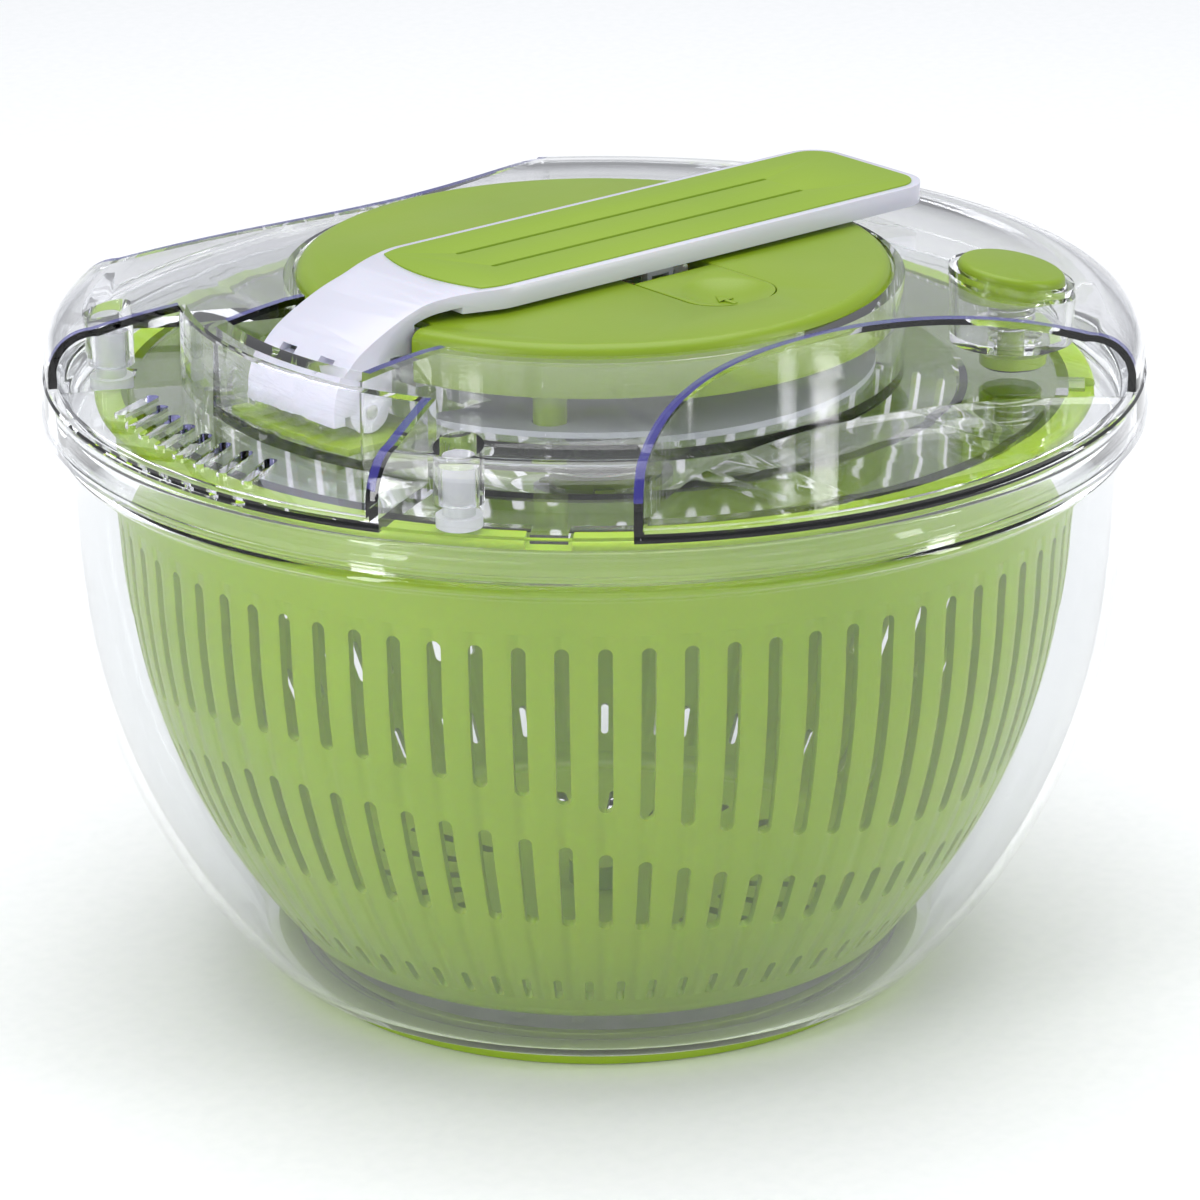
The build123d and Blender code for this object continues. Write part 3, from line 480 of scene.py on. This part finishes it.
# %% Blocks and drums that carve the lid
def drum(radius, z0, z1, x=0.0, y=0.0, sides=48):
    """An upright cylinder, in millimetres."""
    bpy.ops.object.select_all(action="DESELECT")
    middle = Vector((x, y, (z0 + z1) / 2)) * MM
    bpy.ops.mesh.primitive_cylinder_add(vertices=sides, radius=radius * MM, depth=(z1 - z0) * MM, location=middle)
    return settle(bpy.context.object)


def brick(x0, x1, y0, y1, z0, z1):
    """A box between two corners, in millimetres."""
    bpy.ops.object.select_all(action="DESELECT")
    middle = Vector((x0 + x1, y0 + y1, z0 + z1)) * MM / 2
    size = Vector((x1 - x0, y1 - y0, z1 - z0)) * MM
    bpy.ops.mesh.primitive_cube_add(size=1.0, location=middle, scale=size)
    return settle(bpy.context.object)


def carve(piece, tool, operation="DIFFERENCE"):
    """Cuts tool out of piece, adds it, or keeps what they share; the tool is used up."""
    only(piece)
    change = piece.modifiers.new("carve", "BOOLEAN")
    change.operation, change.solver, change.object = operation, "EXACT", tool
    bpy.ops.object.modifier_apply(modifier=change.name)
    bpy.data.objects.remove(tool)
    return piece


# %% Round the sharp edges of a piece
def round_edges(piece, width, angle=35, finish_index=-1, segments=3):
    """Bevels every edge that turns by more than angle degrees, and shades the piece smooth."""
    only(piece)
    change = piece.modifiers.new("round", "BEVEL")
    change.width, change.segments = width * MM, segments
    change.limit_method, change.angle_limit = "ANGLE", math.radians(angle)
    change.miter_outer = "MITER_ARC"
    change.material = finish_index
    bpy.ops.object.modifier_apply(modifier=change.name)
    bpy.ops.object.shade_smooth_by_angle(angle=math.radians(35))
    return piece


def hand_over(piece, node, body, slot, *finishes):
    """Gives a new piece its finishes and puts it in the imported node's place."""
    if not piece.data.materials:
        for finish in finishes:
            piece.data.materials.append(finish)
    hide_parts(node)
    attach(piece, body)
    print(piece.name, "stands for", node, "with", len(piece.data.polygons), "faces")


def softened(node, name, width, body, slot, finish, angle=30):
    """A welded, edge-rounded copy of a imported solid."""
    piece = bpy.data.objects.new(name, NODES[node].data.copy())
    bpy.context.scene.collection.objects.link(piece)
    piece.data.materials.clear()
    only(piece)
    bpy.ops.object.mode_set(mode="EDIT")
    bpy.ops.mesh.select_all(action="SELECT")
    bpy.ops.mesh.remove_doubles(threshold=3e-6)
    bpy.ops.mesh.dissolve_limited(angle_limit=math.radians(1.5))
    bpy.ops.object.mode_set(mode="OBJECT")
    round_edges(piece, width, angle, segments=2)
    hand_over(piece, node, body, slot, finish)
    return piece


# %% [markdown]
# ## The bowl
# The bowl is a deep clear shell, upright near its rim and then sweeping in along one long arc to a
# flat floor. Under the lid's skirt it has a rounded bead, and below the floor a short wall that the
# green foot ring clips to. It is one turned shape, so an outline and a spin make it.

# %% Spin the bowl
ARC_R = 150.0


def wall_points(top_r, turn_z, arc_r, z0, z1, count=28):
    """Points down a wall that is upright at turn_z and follows an arc below it."""
    heights = [z0 + (z1 - z0) * k / count for k in range(count + 1)]
    return [(top_r - arc_r + math.sqrt(arc_r**2 - min(0.0, z - turn_z) ** 2), z) for z in heights]


bowl_line = [(0, 7.6), (0, 6.0), (71.4, 6.0), (71.4, 2.6), (73.6, 2.6), (73.6, 6.0)]
bowl_line += wall_points(125.0, 110.0, ARC_R, 6.0, 110.0)
bowl_line += [(125.0, 133.6), (127.2, 134.8), (127.8, 136.0), (127.2, 137.2), (126.6, 137.8), (126.6, 145.5)]
bowl_line += [(124.0, 145.5), (124.0, 137.4), (122.4, 134.0)]
bowl_line += wall_points(122.4, 110.0, ARC_R - 2.6, 110.0, 8.6)
bowl_line += [(9.0, 8.6), (9.0, 11.0), (4.0, 11.0), (4.0, 7.6)]
bowl_shell = lathe("bowl_shell", bowl_line, 192, 0.7)
hand_over(bowl_shell, "bowl", "bowl", "clear_plastic", CLEAR)

# %% [markdown]
# ## The foot ring
# A green ring flares out under the bowl. Its lower edge is rolled, so that it slides on a worktop.

# %% Spin the foot ring
ring_line = [(68.6, 0.8), (69.4, 0.0), (73.8, 0.0), (74.8, 0.3), (75.3, 1.2), (79.2, 5.8), (73.8, 5.8)]
ring_line += [(73.8, 2.4), (71.2, 2.4), (71.2, 5.8), (68.6, 5.8)]
ring = lathe("foot_band", ring_line, 128, 0.3)
hand_over(ring, "foot_ring", "bowl", "green_plastic", RING_GREEN)

# %% [markdown]
# ## The lid
# The lid is a low clear dome with a skirt over the bowl's bead. Sunk into the dome are a round cup for
# the gears, a pocket for the lever's hinge, a drain tray with slots, and two scoops for the fingers.
# We carve a block with the dome's outside, carve a thinner block for its inside, and take the second
# out of the first. What stays is an even wall that follows every recess.

# %% Outline the dome
DECK = 150.0
DOME_TOP = 172.0


def dome(name, inset, low):
    """A solid block under the dome's surface; inset moves the surface inwards."""
    wall = 129.5 - inset
    top = DOME_TOP - inset
    foot = 130.0 - (inset + 0.6 if inset else 0.0)
    shoulder = (wall - 10.5 + inset * 0.2, 164.9 - inset)
    bend = (wall - 2.9 + inset * 0.2, 161.6 - inset * 0.75)
    line = [(0, top), (0, low), (foot, low), (foot, DECK - 0.6), (wall, DECK)]
    line += arc_points((wall, 155.0), bend, shoulder, 10)
    line += arc_points(shoulder, (99.0, 169.3 - inset), (76.0, top), 10)[1:]
    return lathe(name, line)


# %% Make the tools for the recesses
def tray_block(grow):
    """The drain tray's wedge, outside its inner wall."""
    floor_z, roof_z = DECK - grow, DOME_TOP + 20
    half = math.radians(27.5)
    back = grow / math.sin(half)
    far = -190.0
    reach = (back - far) * math.tan(half)
    wedge = brick(far, back, -reach, reach, floor_z, roof_z)
    only(wedge)
    bpy.ops.object.mode_set(mode="EDIT")
    bpy.ops.mesh.select_all(action="DESELECT")
    bpy.ops.object.mode_set(mode="OBJECT")
    for vertex in wedge.data.vertices:
        vertex.select = vertex.co.x > -0.05
    bpy.ops.object.mode_set(mode="EDIT")
    bpy.ops.transform.resize(value=(1, 0, 1), center_override=(0, 0, 0))
    bpy.ops.mesh.select_all(action="SELECT")
    bpy.ops.mesh.remove_doubles(threshold=1e-6)
    bpy.ops.mesh.normals_make_consistent(inside=False)
    bpy.ops.object.mode_set(mode="OBJECT")
    return carve(wedge, drum(98.5 - grow, floor_z - 5, roof_z + 5, sides=160))


def recess_tools(grow):
    """Cup, hinge pocket, two scoops and drain tray; grow gives the far side of their walls."""
    floor_z, roof_z = DECK - grow, DOME_TOP + 20
    pocket = drum(91.8 + grow, floor_z, roof_z, sides=160)
    carve(pocket, brick(-120, 0, -25 - grow, 25 + grow, floor_z - 5, roof_z + 5), "INTERSECT")
    cup = drum(70.8 + grow, floor_z, roof_z, sides=160)
    scoops = [drum(104.5 + grow, floor_z, roof_z, -2.0, side * 180.0, sides=240) for side in (-1, 1)]
    return [cup, pocket, *scoops, tray_block(grow)]


# %% Carve the shell
lid_shell = dome("lid_shell", 0.0, 139.0)
for tool in recess_tools(0.0):
    carve(lid_shell, tool)
hollow = dome("hollow", 2.2, 120.0)
for tool in recess_tools(2.2):
    carve(hollow, tool)
carve(lid_shell, hollow)
print("lid wall,", len(lid_shell.data.polygons), "faces")


# %% Add the bead, the hub, the peg bosses and the button's boss
def polar(radius, angle):
    return radius * math.cos(math.radians(angle)), radius * math.sin(math.radians(angle))


def band(outer, inner, z0, z1, sides=192):
    """An upright ring with an open middle."""
    return carve(drum(outer, z0, z1, sides=sides), drum(inner, z0 - 1, z1 + 1, sides=sides))


PEGS = [polar(114.0, angle) for angle in (145.0, -145.0, 35.0)]
BUTTON = polar(98.0, -42.5)
carve(lid_shell, band(130.5, 128.5, 139.6, 141.2), "UNION")
carve(lid_shell, band(129.5, 127.3, 149.2, 151.2), "UNION")
carve(lid_shell, band(11.0, 9.0, 128.0, 149.0, 64), "UNION")
carve(lid_shell, band(11.0, 5.0, 128.0, 133.5, 64), "UNION")
for x, y in PEGS:
    boss = carve(drum(5.6, 152.0, DOME_TOP, x, y), dome("under", 0.4, 120.0), "INTERSECT")
    carve(lid_shell, boss, "UNION")
collar = drum(14.8, 155.0, 176.0, *BUTTON, sides=96)
raised = dome("raised", 0.0, 120.0)
raised.location.z = 1.6 * MM
carve(collar, settle(raised), "INTERSECT")
carve(lid_shell, collar, "UNION")
carve(lid_shell, drum(5.6, 152.0, 156.5, *BUTTON), "UNION")
print("bosses added,", len(lid_shell.data.polygons), "faces")

# %% Bore the holes and cut the drain slots
carve(lid_shell, drum(12.95, 156.5, 182.0, *BUTTON, sides=96))
carve(lid_shell, drum(3.3, 145.0, 160.0, *BUTTON))
carve(lid_shell, drum(9.0, 133.5, 153.0, sides=64))
for x, y in PEGS:
    carve(lid_shell, drum(3.6, 140.0, 160.0, x, y))
for angle in (100.0, 220.0, 320.0):
    carve(lid_shell, drum(1.7, 145.0, 153.0, *polar(58.0, angle), sides=24))
for i in range(8):
    x, y = polar(111.5, 159.0 + 29.0 * i / 7)
    slot = brick(-6.75, 6.75, -1.5, 1.5, 145, 155)
    for end in (-6.75, 6.75):
        carve(slot, drum(1.5, 145, 155, end, 0.0, sides=20), "UNION")
    slot.rotation_euler.z = math.radians(202.0 + 9.0 * i / 7)
    slot.location = (x * MM, y * MM, 0.0)
    carve(lid_shell, settle(slot))
print("holes cut,", len(lid_shell.data.polygons), "faces")

# %% [markdown]
# The lid's cut edges are where its tint gathers: light that travels inside the wall leaves there. So
# the bevel puts its faces in a second finish, and the same clear plastic is deeper blue violet there.

# %% Round the lid's edges in the edge tint
only(lid_shell)
bpy.ops.object.mode_set(mode="EDIT")
bpy.ops.mesh.select_all(action="SELECT")
bpy.ops.mesh.remove_doubles(threshold=2e-5)
bpy.ops.mesh.dissolve_limited(angle_limit=math.radians(0.3))
bpy.ops.mesh.quads_convert_to_tris(quad_method="BEAUTY", ngon_method="BEAUTY")
bpy.ops.object.mode_set(mode="OBJECT")
lid_shell.data.materials.append(LID_CLEAR)
lid_shell.data.materials.append(EDGE_CLEAR)
lid_shell.data.materials.append(VIOLET_EDGE)
round_edges(lid_shell, 0.4, 35, finish_index=1)
SLOT_ENDS = []
for i in range(8):
    x, y = polar(111.5, 159.0 + 29.0 * i / 7)
    dx, dy = polar(6.9, 202.0 + 9.0 * i / 7)
    SLOT_ENDS.append(Vector(((x - dx) * MM, (y - dy) * MM)))
violet_faces = 0
for face in lid_shell.data.polygons:
    if 0.147 < face.center.z < 0.1505:
        if min((face.center.xy - end).length for end in SLOT_ENDS) < 0.0026:
            face.material_index = 2
            violet_faces += 1
print("violet slot ends,", violet_faces, "faces")
hand_over(lid_shell, "lid", "lid", "clear_plastic")

# %% [markdown]
# ## Lever, pad, disc, slider and button
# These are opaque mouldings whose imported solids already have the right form. What they lack is the
# small radius that every mould leaves, and that radius is what catches the light along an edge.

# %% Round the moulded pieces
softened("lever", "lever_arm", 0.7, "lever", "white_plastic", WHITE)
softened("lever_pad", "soft_pad", 0.3, "lever", "soft_green", PAD_GREEN)
softened("cover_disc", "gear_cover", 0.35, "lid", "green_plastic", DISC_GREEN)
softened("lock_slider", "lock_slide", 0.35, "lock", "green_plastic", DISC_GREEN)
softened("brake_button", "brake_cap", 0.3, "brake", "green_plastic", DISC_GREEN)
softened("hinge_bracket", "hinge_cheeks", 0.3, "lid", "green_plastic", DISC_GREEN)

# %% [markdown]
# The coil under the brake button stands on the lid and shortens as the button goes down. Its foot
# stays where it is. A steel copy of the imported coil takes its place, at its imported length.

# %% Put a steel copy of the brake coil in place
coil = bpy.data.objects.new("brake_coil", NODES["brake_spring"].data.copy())
bpy.context.scene.collection.objects.link(coil)
coil.data.materials.clear()
hand_over(coil, "brake_spring", "lid", "steel", STEEL)
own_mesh(coil)

# %% [markdown]
# The slider's thumb hollow carries a small raised arrow that points to the locked side. It is a plain
# arrowhead and a shaft, laid just into the hollow's floor so that no gap shows round its foot.

# %% Raise the arrow in the slider's hollow
bpy.ops.object.select_all(action="DESELECT")
bpy.ops.mesh.primitive_circle_add(vertices=3, radius=2.6 * MM, fill_type="NGON", location=(5.5 * MM, -39.6 * MM, 171.0 * MM))
arrow = settle(bpy.context.object)
arrow.name = "lock_arrow"
bpy.ops.object.mode_set(mode="EDIT")
bpy.ops.mesh.select_all(action="SELECT")
bpy.ops.mesh.extrude_region_move(TRANSFORM_OT_translate={"value": (0, 0, 0.85 * MM)})
bpy.ops.mesh.select_all(action="SELECT")
bpy.ops.mesh.normals_make_consistent(inside=False)
bpy.ops.object.mode_set(mode="OBJECT")
carve(arrow, brick(4.9, 6.1, -44.2, -40.0, 171.0, 171.84), "UNION")
round_edges(arrow, 0.12, 40, segments=2)
arrow.data.materials.append(DISC_GREEN)
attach(arrow, "lock")
print("arrow", [round(v * 1000, 1) for v in arrow.dimensions], "mm")
